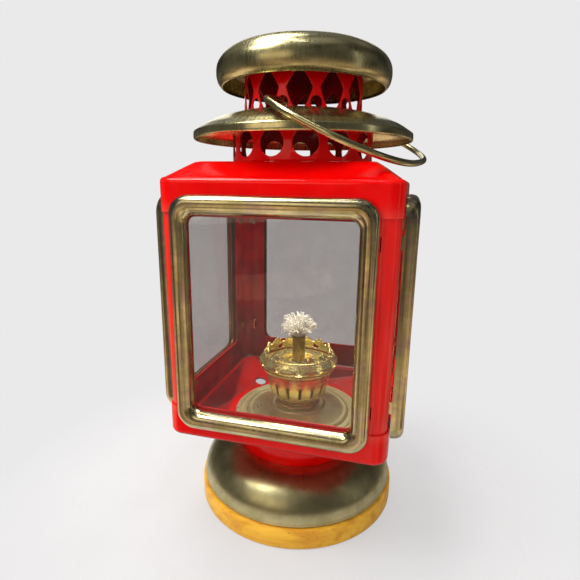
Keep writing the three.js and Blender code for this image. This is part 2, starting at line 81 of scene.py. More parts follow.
# Sizes that no box in the frame gives, in millimetres.
NECK_R = 38.4
PAN_BAND = 17.7  # upright wall of a pan
PAN_RISE = 8.2  # from a pan's edge to its flat
PAN_CORNER = 9
PAN_FLAT = 49  # half width of the flat
ROOF_FLAT_CORNER = 6
DRAIN_HOLE = {"x": -38, "y": 33, "z": 57, "r": 4}
BEZEL_INNER = {"half_x": 43.6, "half_y": 54.1, "corner": 5}
BEZEL_OUTER = {"half_x": 53, "corner": 10}
TAB_Z = 43  # a bezel's tabs stand this far above and below its middle
COLLAR = {"r": 41.2, "holes": 14, "hole_r": 6.9, "first": 16}
STRUT_RING = {"r": 34.2, "struts": 12, "hole_r": 3.1, "first": -5}
PIVOT_Z = 245.8  # height of the bail's two holes
THREAD_R = 11
BOWL_SLOTS = {"count": 16, "first": 17.5}
CROWN_PRONGS = 12
GOLDEN_SHARE = 0.618034  # of a turn, which spreads strands evenly


# ---- Places, from the frame ----
def node_box(node):
    low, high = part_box(node)
    return low / MM, high / MM


def radius_of(node):
    return node_box(node)[1].y


def height_span(node):
    low, high = node_box(node)
    return low.z, high.z


# ---- Lines ----
def smooth_line(points, per_span=6):
    """A Catmull-Rom curve through points, as a list that ends on the last point."""
    ends = [2 * Vector(points[0]) - Vector(points[1]), 2 * Vector(points[-1]) - Vector(points[-2])]
    line = [ends[0], *(Vector(p) for p in points), ends[1]]
    result = []
    for a, b, c, d in zip(line, line[1:], line[2:], line[3:]):
        for step in range(per_span):
            t = step / per_span
            bend = (2 * a - 5 * b + 4 * c - d) * t * t + (3 * b - 3 * c + d - a) * t**3
            result.append(b + 0.5 * ((c - a) * t + bend))
    return [*result, line[-2]]


def runs(*parts, per_span=6):
    """Smooth runs that meet at creases: each part starts where the one before it ended."""
    line = []
    for part in parts:
        start = [tuple(line[-1])] if line else []
        added = smooth_line([*start, *part], per_span)
        line += added[1:] if start else added
    return line


def sheet_outline(line, thick=SHEET, cap_steps=4):
    """A closed outline of a sheet under a line whose outer side is on its right, with round edges."""
    count = len(line)
    inner = []
    for i, point in enumerate(line):
        along = (line[min(i + 1, count - 1)] - line[max(i - 1, 0)]).normalized()
        inner.append(point - Vector((along.y, -along.x)) * thick)

    def cap(start, end, outwards):
        middle, arm = (start + end) / 2, (start - end) / 2
        turns = [math.pi * k / cap_steps for k in range(1, cap_steps)]
        return [middle + arm * math.cos(a) + outwards * (thick / 2) * math.sin(a) for a in turns]

    at_end = (line[-1] - line[-2]).normalized()
    at_start = (line[0] - line[1]).normalized()
    return [*line, *cap(line[-1], inner[-1], at_end), *inner[::-1], *cap(inner[0], line[0], at_start)]


def rounded_square(half_x, half_y, corner, corner_steps, side_steps):
    """Points round a rectangle with round corners, evenly spread along its sides too."""

    def on_corner(quarter, share):
        middle, angle = ((quarter + part) * math.pi / 2 for part in (0.5, share))
        x = (half_x - corner) * math.copysign(1, math.cos(middle))
        y = (half_y - corner) * math.copysign(1, math.sin(middle))
        return Vector((x + corner * math.cos(angle), y + corner * math.sin(angle)))

    points = []
    for quarter in range(4):
        points += [on_corner(quarter, i / corner_steps) for i in range(corner_steps + 1)]
        end = on_corner(quarter + 1, 0)
        points += [points[-1].lerp(end, k / side_steps) for k in range(1, side_steps)]
    return points


def circle(r, x=0.0, y=0.0, steps=40):
    turns = [2 * math.pi * i / steps for i in range(steps)]
    return [(x + r * math.cos(a), y + r * math.sin(a)) for a in turns]


def at_azimuth(degrees, r, z):
    a = math.radians(degrees)
    return Vector((r * math.sin(a), -r * math.cos(a), z))


# ---- Meshes ----
def settle(mesh_data, bm, crease=CREASE_DEG, weld=0.002):
    """Welds seams, turns faces outwards, and shades smooth except across creases."""
    bmesh.ops.remove_doubles(bm, verts=bm.verts, dist=weld * MM)
    bmesh.ops.dissolve_degenerate(bm, edges=bm.edges, dist=1e-7)
    bmesh.ops.recalc_face_normals(bm, faces=bm.faces)
    for face in bm.faces:
        face.smooth = True
    for edge in bm.edges:
        edge.smooth = len(edge.link_faces) == 2 and edge.calc_face_angle(0) < math.radians(crease)
    bm.to_mesh(mesh_data)
    bm.free()


def mesh_object(name, points, faces, crease=CREASE_DEG):
    """An object from points in millimetres."""
    data = bpy.data.meshes.new(name)
    data.from_pydata([tuple(p * MM for p in point) for point in points], [], faces)
    bm = bmesh.new()
    bm.from_mesh(data)
    settle(data, bm, crease)
    obj = bpy.data.objects.new(name, data)
    scene.collection.objects.link(obj)
    return obj


def between_rings(rings, closed=True):
    """Points and faces of a surface through rings; closed joins the last ring to the first."""
    count = len(rings[0])
    faces = []
    for i in range(len(rings) if closed else len(rings) - 1):
        a, b = i * count, (i + 1) % len(rings) * count
        faces += [(a + j, a + (j + 1) % count, b + (j + 1) % count, b + j) for j in range(count)]
    return [p for ring in rings for p in ring], faces


def capped_rings(rings):
    """Points and faces of a surface through rings, with a face over the first and the last."""
    points, faces = between_rings(rings, closed=False)
    count = len(rings[0])
    return points, [tuple(range(count)), tuple(range(len(points) - count, len(points))), *faces]


def loft(name, rings):
    return mesh_object(name, *between_rings(rings))


def turned(name, outline, steps=TURN_STEPS, uneven=0.0, relief=None):
    """A turned piece from an outline of (radius, height). uneven dents it inwards a little, as
    spun sheet is, and relief(azimuth, i) adds to the radius of outline point i."""
    rings = []
    for i, (r, z) in enumerate(outline):
        ring = []
        for k in range(steps):
            a = 360 * k / steps
            dent = uneven * (0.5 + 0.5 * noise.noise(at_azimuth(a, r, z) * 0.045))
            raised = relief(math.radians(a), i) if relief else 0
            ring.append(at_azimuth(a, max(r - (dent if r > 1 else 0) + raised, 0), z))
        rings.append(ring)
    return loft(name, rings)


def solid_turned(name, outline, steps=TURN_STEPS):
    """A turned solid whose outline starts and ends on the axis."""
    return loft(name, [[at_azimuth(360 * k / steps, r, z) for k in range(steps)] for r, z in outline])


def swept(path, radius_at, sides=8):
    """Points and faces of a round rod along a path; radius_at takes 0 to 1 along it."""
    rings = []
    side = (path[1] - path[0]).orthogonal().normalized()
    for i, middle in enumerate(path):
        along = (path[min(i + 1, len(path) - 1)] - path[max(i - 1, 0)]).normalized()
        side = (side - along * side.dot(along)).normalized()
        across = along.cross(side)
        r = radius_at(i / (len(path) - 1))
        turns = [2 * math.pi * k / sides for k in range(sides)]
        rings.append([middle + r * (side * math.cos(a) + across * math.sin(a)) for a in turns])
    return capped_rings(rings)


def joined_parts(name, parts, crease=CREASE_DEG):
    """One object from several (points, faces) parts."""
    points, faces = [], []
    for part_points, part_faces in parts:
        faces += [tuple(len(points) + i for i in face) for face in part_faces]
        points += part_points
    return mesh_object(name, points, faces, crease)


def refined(name, node, bevel):
    """A copy of a CAD node with merged facets and softened edges."""
    bm = bmesh.new()
    bm.from_mesh(frame["nodes"][node].data)
    bmesh.ops.remove_doubles(bm, verts=bm.verts, dist=1e-6)
    bmesh.ops.dissolve_limit(bm, angle_limit=math.radians(0.5), verts=bm.verts, edges=bm.edges)
    corners = [e for e in bm.edges if len(e.link_faces) == 2 and e.calc_face_angle(0) > math.radians(50)]
    bmesh.ops.bevel(bm, geom=corners, offset=bevel * MM, segments=2, profile=0.6, affect="EDGES")
    data = bpy.data.meshes.new(name)
    settle(data, bm, weld=0.0005)
    obj = bpy.data.objects.new(name, data)
    scene.collection.objects.link(obj)
    return obj


def pierced(name, shapes, pitch, count, first, thick, place, bevel=0.14, strips=10, levels=()):
    """A pierced sheet. shapes are outlines of (along, up) for one repeat, wider than the pitch; they
    are cut flat with soft edges, trimmed to one pitch, and bent round count times by
    place(azimuth in degrees, up, depth)."""
    curve = bpy.data.curves.new(name, "CURVE")
    curve.dimensions, curve.fill_mode = "2D", "BOTH"
    curve.extrude, curve.bevel_depth, curve.bevel_resolution = thick / 2 - bevel, bevel, 1
    curve.offset = -bevel
    for shape in shapes:
        spline = curve.splines.new("POLY")
        spline.points.add(len(shape) - 1)
        spline.use_cyclic_u = True
        for point, (x, y) in zip(spline.points, shape):
            point.co = (x, y, 0, 1)
    flat = bpy.data.objects.new(name + "_flat", curve)
    scene.collection.objects.link(flat)
    bpy.context.view_layer.update()
    data = bpy.data.meshes.new_from_object(flat.evaluated_get(bpy.context.evaluated_depsgraph_get()))
    bm = bmesh.new()
    bm.from_mesh(data)
    bpy.data.objects.remove(flat)

    def bisect(at, normal, inner=False, outer=False):
        geom = [*bm.verts, *bm.edges, *bm.faces]
        bmesh.ops.bisect_plane(
            bm, geom=geom, plane_co=at, plane_no=normal, dist=1e-5, clear_inner=inner, clear_outer=outer
        )

    for k in range(strips + 1):
        x = (k / strips - 0.5) * pitch
        bisect((x, 0, 0), (1, 0, 0), inner=k == 0, outer=k == strips)
    for level in levels:
        bisect((0, level, 0), (0, 1, 0))
    bm.verts.index_update()
    local = [v.co.copy() for v in bm.verts]
    polygons = [[v.index for v in f.verts] for f in bm.faces]
    bm.free()
    parts = []
    for i in range(count):
        turn = first + 360 * i / count
        bent = [place(turn + p.x / pitch * 360 / count, p.y, p.z) for p in local]
        parts.append((bent, polygons))
    return joined_parts(name, parts, crease=50)


# ---- Node materials ----
class Nodes:
    """Fills a node tree; a socket takes a plain value or the output of another node."""

    def __init__(self, tree):
        self.tree = tree
        tree.nodes.clear()

    def node(self, kind, settings=None, **sockets):
        made = self.tree.nodes.new(kind)
        for key, value in (settings or {}).items():
            setattr(made, key, value)
        for key, value in sockets.items():
            self.feed(made.inputs[key.replace("_", " ")], value)
        return made

    def feed(self, socket, value):
        if isinstance(value, bpy.types.NodeSocket):
            self.tree.links.new(value, socket)
        else:
            socket.default_value = value

    def math(self, operation, a, b=0.0):
        made = self.node("ShaderNodeMath", {"operation": operation})
        self.feed(made.inputs[0], a)
        self.feed(made.inputs[1], b)
        return made.outputs[0]

    def spread(self, value, low, high, to_low=0.0, to_high=1.0):
        made = self.node("ShaderNodeMapRange", Value=value)
        for index, limit in enumerate((low, high, to_low, to_high)):
            made.inputs[index + 1].default_value = limit
        return made.outputs[0]

    def mixed(self, factor, a, b, blend="MIX"):
        made = self.node("ShaderNodeMix", {"data_type": "RGBA", "blend_type": blend})
        for index, value in ((0, factor), (6, a), (7, b)):
            self.feed(made.inputs[index], value)
        return made.outputs[2]

    def ramp(self, value, *stops):
        made = self.node("ShaderNodeValToRGB", Fac=value)
        elements = made.color_ramp.elements
        for index, (at, colour) in enumerate(stops):
            element = elements[index] if index < 2 else elements.new(at)
            element.position, element.color = at, (*colour, 1)
        return made.outputs[0]

    def vector(self, operation, a, b=None):
        made = self.node("ShaderNodeVectorMath", {"operation": operation})
        self.feed(made.inputs[0], a)
        if b is not None:
            self.feed(made.inputs["Scale" if operation == "SCALE" else 1], b)
        return made.outputs["Value" if operation in ("LENGTH", "DOT_PRODUCT") else "Vector"]

    def blended(self, factor, a, b):
        """One shader faded into another."""
        made = self.node("ShaderNodeMixShader", Fac=factor)
        self.feed(made.inputs[1], a.outputs[0])
        self.feed(made.inputs[2], b.outputs[0])
        return made


class Paint(Nodes):
    """A node material round one Principled shader."""

    def __init__(self, name, **fixed):
        self.material = bpy.data.materials.new(name)
        self.material.use_nodes = True
        super().__init__(self.material.node_tree)
        self.shader = self.node("ShaderNodeBsdfPrincipled", **fixed)
        self.output = self.node("ShaderNodeOutputMaterial", Surface=self.shader.outputs[0])
        self.place = self.node("ShaderNodeTexCoord").outputs["Object"]
        self.normal = self.node("ShaderNodeTexCoord").outputs["Normal"]

    def set(self, **sockets):
        for key, value in sockets.items():
            self.feed(self.shader.inputs[key.replace("_", " ")], value)

    def stretched(self, x=1, y=1, z=1):
        return self.node("ShaderNodeMapping", Vector=self.place, Scale=(x, y, z)).outputs[0]

    def grain(self, size, detail=3.0, rough=0.55, where=None, distort=0.0):
        """Noise with features of about size millimetres, from 0 to 1."""
        shape = {"Scale": 1 / (size * MM), "Detail": detail, "Roughness": rough, "Distortion": distort}
        return self.node("ShaderNodeTexNoise", Vector=where or self.place, **shape).outputs[0]

    def bump(self, height, depth, strength=1.0, under=None):
        """Raises the surface by depth millimetres where height is 1."""
        made = self.node("ShaderNodeBump", Height=height, Strength=strength, Distance=depth * MM)
        if under:
            self.feed(made.inputs["Normal"], under)
        return made.outputs[0]

    def outwards(self):
        """The level direction away from the lantern's axis."""
        return self.vector("NORMALIZE", self.vector("MULTIPLY", self.place, (1, 1, 0)))

    def round_the_axis(self, reach, height):
        """A place that hardly changes up and over a turned piece, for streaks that run that way."""
        raised = self.vector("MULTIPLY", self.place, (height * 0.3, height * 0.3, height))
        return self.vector("ADD", self.vector("SCALE", self.outwards(), reach), raised)

    def inwards(self):
        """1 on the faces that look at the lantern's axis, 0 on those that look away from it."""
        return self.spread(self.vector("DOT_PRODUCT", self.outwards(), self.normal), -0.1, -0.5)

    def underneath(self):
        """1 on the faces that look down, 0 on upright and upper ones."""
        upward = self.node("ShaderNodeSeparateXYZ", Vector=self.normal).outputs[2]
        return self.spread(upward, -0.15, -0.6)

    def edges(self, low=0.52, high=0.6):
        pointed = self.node("ShaderNodeNewGeometry").outputs["Pointiness"]
        return self.spread(pointed, low, high)


def enamel():
    paint = Paint("red_enamel", Coat_Weight=0.3, Coat_Roughness=0.05, Specular_IOR_Level=0.14)
    cloud = paint.grain(24, detail=2)
    body = paint.ramp(cloud, (0.3, (0.6, 0.0005, 0.0006)), (0.7, (0.74, 0.0008, 0.0008)))
    speck = paint.spread(paint.grain(1.7, detail=1), 0.7, 0.78, 0, 0.4)
    body = paint.mixed(speck, body, (0.45, 0.003, 0.003, 1))
    # Sharp edges are mixed towards a light pink: a painted highlight along the edges, partly worn enamel
    # too.
    body = paint.mixed(paint.math("MULTIPLY", paint.edges(), 0.3), body, (0.85, 0.12, 0.09, 1))
    # Faces that look at the lantern's axis are mixed towards near-black red: painted shade inside the
    # lantern.
    inward_shade = paint.math("MULTIPLY", paint.inwards(), paint.spread(cloud, 0.3, 0.6, 0.7, 0.92))
    body = paint.mixed(inward_shade, body, (0.07, 0.004, 0.004, 1))
    # Faces that look down are mixed towards a dark red: painted shade on the undersides of the pans and
    # neck.
    body = paint.mixed(paint.math("MULTIPLY", paint.underneath(), 0.6), body, (0.14, 0.002, 0.002, 1))
    wear = paint.math("MULTIPLY", paint.spread(paint.grain(9, detail=5), 0.35, 0.75), 0.16)
    peel = paint.bump(paint.grain(2.1, detail=1.5), 0.075, 0.55)
    dents = paint.bump(paint.grain(17, detail=1), 0.22, 0.55, under=peel)
    paint.set(Base_Color=body, Roughness=paint.math("ADD", wear, 0.1), Normal=dents)
    return paint.material


def brass(name, dark, light, rough, streak, brushing=0.5, tint=0.0, metallic=1.0):
    """Lacquered brass, dull where it has tarnished, with fine polishing lines."""
    paint = Paint(name, Metallic=metallic)
    patches = paint.grain(19, detail=5, rough=0.62)
    tone = paint.ramp(patches, (0.3, dark), (0.68, light))
    stain = paint.spread(paint.grain(5.5, detail=4, rough=0.7), 0.52, 0.72)
    tone = paint.mixed(paint.math("MULTIPLY", stain, 0.3), tone, (*(c * 0.55 for c in dark), 1))
    if tint:
        film = paint.spread(paint.grain(14, detail=2, where=paint.stretched(1, 1, 2.5)), 0.45, 0.62)
        tone = paint.mixed(paint.math("MULTIPLY", film, tint), tone, (0.42, 0.28, 0.36, 1))
    lines = paint.grain(1.2, detail=3, rough=0.7, where=streak(paint))
    pits = paint.grain(0.55, detail=2)
    rough_patches = paint.spread(patches, 0.3, 0.75, rough + 0.1, rough - 0.03)
    rough_map = paint.math("ADD", rough_patches, paint.spread(lines, 0.3, 0.7, -0.04, 0.06))
    worn = paint.math("MULTIPLY", paint.edges(0.53, 0.62), 0.5)
    tone = paint.mixed(worn, tone, (*(min(1, c * 1.15) for c in light), 1))
    normal = paint.bump(lines, 0.02 * brushing, 0.7)
    normal = paint.bump(pits, 0.012, 0.5, under=normal)
    normal = paint.bump(paint.grain(21, detail=1), 0.25, 0.5, under=normal)
    paint.set(Base_Color=tone, Roughness=rough_map, Normal=normal)
    return paint.material


def up_and_over(paint):
    return paint.round_the_axis(0.05, 0.06)


def along_bars(paint):
    return paint.stretched(1, 1, 0.07)


def round_rings(paint):
    split = paint.node("ShaderNodeSeparateXYZ", Vector=paint.place)
    x, y, z = split.outputs
    square = paint.math("ADD", paint.math("MULTIPLY", x, x), paint.math("MULTIPLY", y, y))
    return paint.node("ShaderNodeCombineXYZ", X=paint.math("SQRT", square), Y=0.0, Z=z).outputs[0]


def wood():
    paint = Paint("base_wood", Coat_Weight=0.12, Coat_Roughness=0.2, Specular_IOR_Level=0.2)
    fibres = paint.grain(1.5, detail=5, where=paint.stretched(0.05, 1, 1), distort=0.2)
    rings = paint.grain(7, detail=3, where=paint.stretched(0.1, 1, 1), distort=0.5)
    stops = ((0.32, (0.6, 0.27, 0.02)), (0.5, (0.74, 0.39, 0.03)), (0.62, (0.82, 0.46, 0.045)))
    tone = paint.ramp(rings, *stops)
    tone = paint.mixed(paint.spread(fibres, 0.4, 0.75, 0, 0.3), tone, (0.52, 0.2, 0.02, 1))
    pores = paint.spread(paint.grain(0.7, detail=1, where=paint.stretched(0.1, 1, 1)), 0.66, 0.74)
    tone = paint.mixed(paint.math("MULTIPLY", pores, 0.5), tone, (0.2, 0.08, 0.02, 1))
    normal = paint.bump(fibres, 0.06, 0.6)
    normal = paint.bump(pores, -0.05, 0.6, under=normal)
    paint.set(Base_Color=tone, Roughness=paint.spread(fibres, 0.3, 0.7, 0.34, 0.5), Normal=normal)
    return paint.material


def cotton():
    paint = Paint("wick_cotton", Sheen_Weight=0.4, Roughness=0.92)
    fibre = paint.grain(0.7, detail=4)
    tone = paint.ramp(fibre, (0.3, (0.8, 0.76, 0.62)), (0.6, (0.95, 0.93, 0.82)))
    paint.set(Base_Color=tone, Normal=paint.bump(fibre, 0.15, 0.8))
    return paint.material


def steel():
    paint = Paint("winder_steel", Metallic=1.0)
    lines = paint.grain(0.8, detail=3, where=paint.stretched(1, 0.08, 1))
    tone = paint.ramp(lines, (0.3, (0.3, 0.29, 0.27)), (0.7, (0.52, 0.51, 0.48)))
    rust = paint.spread(paint.grain(3, detail=4), 0.58, 0.7)
    tone = paint.mixed(paint.math("MULTIPLY", rust, 0.5), tone, (0.25, 0.12, 0.06, 1))
    rough = paint.spread(lines, 0.3, 0.7, 0.28, 0.5)
    paint.set(Base_Color=tone, Roughness=rough, Normal=paint.bump(lines, 0.02))
    return paint.material


def glass():
    """Old window glass: a grey tint, a thin sooty film of dust, and slightly uneven reflections.
    Light is tinted where it enters a pane, and passes out of it freely."""
    paint = Paint("window_glass")
    haze = paint.spread(paint.grain(26, detail=4, rough=0.6), 0.35, 0.75)
    smear = paint.spread(paint.grain(3.2, detail=5, where=paint.stretched(1, 1, 0.25)), 0.5, 0.75)
    dust = paint.math("ADD", paint.math("MULTIPLY", haze, 0.015), paint.math("MULTIPLY", smear, 0.02))
    tint = paint.mixed(haze, (0.63, 0.61, 0.6, 1), (0.58, 0.56, 0.555, 1))
    clear = paint.node("ShaderNodeBsdfTransparent", Color=tint)
    open_air = paint.node("ShaderNodeBsdfTransparent", Color=(0.93, 0.93, 0.92, 1))
    shadow = paint.node("ShaderNodeLightPath").outputs["Is Shadow Ray"]
    through = paint.blended(shadow, clear, open_air)
    wavy = paint.bump(paint.grain(38, detail=1), 0.3, 0.35)
    film = paint.node("ShaderNodeBsdfDiffuse", Color=(0.62, 0.6, 0.58, 1))
    dusty = paint.blended(paint.math("ADD", dust, 0.012), through, film)
    gloss = paint.node("ShaderNodeBsdfGlossy", Color=(1, 1, 1, 1), Roughness=0.03, Normal=wavy)
    mirrored = paint.node("ShaderNodeFresnel", IOR=1.4, Normal=wavy).outputs[0]
    outside = paint.blended(mirrored, dusty, gloss)
    leaving = paint.node("ShaderNodeNewGeometry").outputs["Backfacing"]
    whole = paint.blended(leaving, outside, paint.node("ShaderNodeBsdfTransparent"))
    paint.feed(paint.output.inputs["Surface"], whole.outputs[0])
    paint.tree.nodes.remove(paint.shader)
    return paint.material


AGED = ((0.38, 0.34, 0.165), (0.66, 0.6, 0.33))
BRIGHT = ((0.82, 0.66, 0.19), (1.0, 0.9, 0.44))
SATIN = ((0.68, 0.61, 0.26), (0.94, 0.88, 0.48))
ENAMEL = enamel()
SPUN_BRASS = brass("aged_brass_spun", *AGED, 0.2, up_and_over, brushing=1.0)
SKIRT_BRASS = brass("aged_brass_skirt", *AGED, 0.3, up_and_over, brushing=1.0)
BAR_BRASS = brass("aged_brass_bars", *AGED, 0.15, along_bars, brushing=0.5, tint=0.35)
WIRE_BRASS = brass("aged_brass_wire", *AGED, 0.17, along_bars, brushing=0.3)
BURNER_BRASS = brass("burner_brass_bright", *BRIGHT, 0.17, round_rings, brushing=0.4, metallic=0.8)
FONT_BRASS = brass("font_brass_satin", *SATIN, 0.28, round_rings, brushing=0.6, metallic=0.66)
WOOD = wood()
COTTON = cotton()
STEEL = steel()
GLASS = glass()
SOOTED = ((0.2, 0.14, 0.08), (0.42, 0.34, 0.22))
TUBE_BRASS = brass("wick_tube_sooted", *SOOTED, 0.25, along_bars, brushing=0.5)


def fit(obj, body, slot, material, *nodes):
    """Gives a piece its finish, sets it on its body, and hides the CAD nodes it stands for."""
    obj.data.materials.clear()
    obj.data.materials.append(material)
    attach(obj, body)
    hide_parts(*nodes)
    return obj


def fit_refined(node, kind, bevel, body, slot, material):
    """Fits a copy of a CAD node with softened edges in place of the node itself."""
    fit(refined(node + "_" + kind, node, bevel), body, slot, material, node)


# ---- Camera ----
def camera():
    """Close in front of the lantern, a little to its right and above it, with a wide lens."""
    data = bpy.data.cameras.new("camera")
    data.lens, data.sensor_width, data.clip_start = 27.67, 36, 0.01
    obj = bpy.data.objects.new("camera", data)
    scene.collection.objects.link(obj)
    target, distance = Vector((-6.57, 0, 137.73)), 288.19
    azimuth, elevation, roll = (math.radians(a) for a in (15.05, 13.34, 0.78))
    level = math.cos(elevation)
    back = Vector((math.sin(azimuth) * level, -math.cos(azimuth) * level, math.sin(elevation)))
    obj.location = (target + back * distance) * MM
    obj.rotation_mode = "QUATERNION"
    obj.rotation_quaternion = Quaternion(back, roll) @ (-back).to_track_quat("-Z", "Y")
    scene.camera = obj


# ---- Foot ----
def foot():
    r = radius_of("wood_base")
    _, top = height_span("wood_base")
    step = top - 4
    boss = r - 3
    outline = [(0, 0)]
    outline += smooth_line([(r - 1.6, 0), (r - 0.5, 0.3), (r, 1.4)], 4)
    outline += smooth_line([(r, step - 1.2), (r - 0.4, step - 0.3), (r - 1.2, step)], 4)
    outline += [(boss, step), (boss, top - 0.8), (boss - 0.8, top), (0, top)]
    fit(solid_turned("wood_base_turned", outline), "cage", "base_wood", WOOD, "wood_base")

    r = radius_of("base_skirt")
    low, top = height_span("base_skirt")
    hole = radius_of("base_neck")
    line = runs(
        [(r - 0.35, low), (r - 0.05, low + 0.6), (r - 0.15, low + 1.5)],
        [
            (r, low + 3.2),
            (r - 1.2, low + 8.7),
            (r - 4.3, low + 13.7),
            (r - 8.8, low + 18.1),
            (r - 14.8, low + 21.5),
            (r - 20.2, low + 23.1),
            (r - 24, low + 23.3),
        ],
    )
    skirt = turned("base_skirt_spun", sheet_outline(line), uneven=0.1)
    fit(skirt, "cage", "aged_brass", SKIRT_BRASS, "base_skirt")

    low, top = height_span("base_neck")
    r = NECK_R
    line = runs(
        [(r + 4.5, low + 0.4), (r + 1, low + 0.5), (r, low + 1.8)],
        [(r - 0.1, (low + top) / 2), (r, top - 2.8)],
        [(r + 1.2, top - 1.1), (r + 4, top - 0.5), (hole, top - 0.45)],
    )
    neck = turned("base_neck_tube", sheet_outline(line, 0.75), uneven=0.05)
    fit(neck, "cage", "red_enamel", ENAMEL, "base_neck")


# ---- Body ----
def pan(name, node, up, hole, flat_corner):
    """A pressed pan: an upright band, a rounded edge, a sloping face, and a flat with a round hole."""
    half = node_box(node)[1].x
    low, high = height_span(node)
    face = high if up > 0 else low
    edge = face - up * PAN_RISE
    band = edge - up * PAN_BAND
    roll, thick = 2.6, 0.75
    spacing = {"corner_steps": 14, "side_steps": 16}

    def ring(inset, z, morph=0.0, sink=0.0):
        """The square outline moved in by inset; morph turns it into the outline of the flat."""
        h = half - inset - sink
        c = max(PAN_CORNER - inset - sink, 2)
        h += (PAN_FLAT - sink - h) * morph
        c += (flat_corner - sink - c) * morph
        points = []
        for p in rounded_square(h, h, c, **spacing):
            dent = 0.12 * (1 - morph) * (0.5 + 0.5 * noise.noise(Vector((p.x, p.y, z)) * 0.03))
            points.append(Vector((*(p * (1 - dent / half)), z)))
        return points

    def surface(sink):
        down = -up * sink
        rings = [ring(0, band + up * k * 4.9, sink=sink) for k in range(4)]
        for k in range(7):
            a = math.radians(90 * k / 6)
            z = edge - up * roll * (1 - math.sin(a)) + down
            rings.append(ring(roll * (1 - math.cos(a)), z, sink=sink))
        for k in range(1, 9):
            rings.append(ring(roll, edge + up * (PAN_RISE - 0.5) * k / 8 + down, k / 8, sink))
        edge_in = 1.2 + sink
        flat = [(PAN_FLAT - edge_in, flat_corner - edge_in, 0.0)]
        flat += [(hole + 1.2, hole + 1.2, 0.0), (hole, hole, -0.1)]
        for h, c, dz in flat:
            z = face + up * dz + down
            rings.append([Vector((*p, z)) for p in rounded_square(h, h, c, **spacing)])
        return rings

    return loft(name, [*surface(0), *surface(thick)[::-1]])


def cut_hole(obj, x, y, z, r):
    """Drills a round hole straight down through a piece."""
    rings = [[Vector((px, py, z + dz)) for px, py in circle(r, x, y, steps=36)] for dz in (-8, 8)]
    tool = mesh_object("drill", *capped_rings(rings))
    cutter = obj.modifiers.new("drill", "BOOLEAN")
    cutter.operation, cutter.object, cutter.solver = "DIFFERENCE", tool, "EXACT"
    bpy.context.view_layer.update()
    data = bpy.data.meshes.new_from_object(obj.evaluated_get(bpy.context.evaluated_depsgraph_get()))
    obj.modifiers.clear()
    obj.data = data
    bpy.data.objects.remove(tool)


def bezel(side, azimuth):
    """A window frame of half-round hollow strip with four folded tabs."""
    face = node_box("bottom_pan")[1].x
    low, high = height_span("window_bezel_front")
    middle = (low + high) / 2
    spacing = {"corner_steps": 12, "side_steps": 18}
    outer = rounded_square(**BEZEL_OUTER, half_y=(high - low) / 2, **spacing)
    inner = rounded_square(**BEZEL_INNER, **spacing)
    line = runs(
        [(1, 0.3), (1, 1.6), (0.985, 3), (0.93, 4.9), (0.8, 6.5), (0.62, 7.1), (0.4, 7.0)],
        [(0.22, 6.1), (0.09, 4.6), (0.01, 2.2)],
        per_span=4,
    )
    width = BEZEL_OUTER["half_x"] - BEZEL_INNER["half_x"]
    flat = [Vector((share * width, height)) for share, height in line]
    outline = [(point.x / width, point.y) for point in sheet_outline(flat, 0.7, 3)]
    c, s = math.cos(math.radians(azimuth)), math.sin(math.radians(azimuth))

    def placed(x, z, height):
        y = -face - height
        return Vector((x * c - y * s, x * s + y * c, z + middle))

    rings = []
    for share, height in outline:
        ring = []
        for i, near in enumerate(inner):
            p = near.lerp(outer[i], share)
            wave = 0.1 * noise.noise(Vector((p.x, p.y, azimuth)) * 0.05)
            ring.append(placed(p.x, p.y, max(height * (1 - 0.02 * (0.5 + wave)) - abs(wave), 0.3)))
        rings.append(ring)
    parts = [between_rings(rings)]
    for left in (-1, 1):
        for up in (-1, 1):
            parts.append(tab(placed, left, up * TAB_Z))
    obj = joined_parts("window_bezel_" + side + "_rolled", parts, crease=45)
    fit(obj, "cage", "aged_brass", BAR_BRASS, "window_bezel_" + side)


def tab(placed, left, z):
    """One folded tab: a strip that goes in through its slot and bends outwards inside the sleeve."""
    half, thick = 3.3, 0.7
    path = [(0.4, 1.2), (0.4, -1.4), (0.5, -2.4), (1.1, -2.75), (4.4, -2.6)]
    normals = []
    for i in range(len(path)):
        a, b = Vector(path[max(i - 1, 0)]), Vector(path[min(i + 1, len(path) - 1)])
        along = (b - a).normalized()
        normals.append(Vector((along.y, -along.x)))
    rings = []
    for (out, height), normal in zip(path, normals):
        ring = []
        for across, deep in ((-half, 0), (half, 0), (half, thick), (-half, thick)):
            p = Vector((out, height)) + normal * (deep - thick / 2)
            ring.append(placed(left * (BEZEL_OUTER["half_x"] - SHEET + p.x), z + across, p.y))
        rings.append(ring)
    return capped_rings(rings)


def body():
    floor_pan = pan("bottom_pan_pressed", "bottom_pan", -1, NECK_R - 0.6, PAN_FLAT)
    cut_hole(floor_pan, **DRAIN_HOLE)
    fit(floor_pan, "cage", "red_enamel", ENAMEL, "bottom_pan")
    fit_refined("body_sleeve", "folded", 0.22, "cage", "red_enamel", ENAMEL)
    for side, azimuth in SIDES.items():
        bezel(side, azimuth)
        fit_refined("window_glass_" + side, "pane", 0.2, "cage", "window_glass", GLASS)


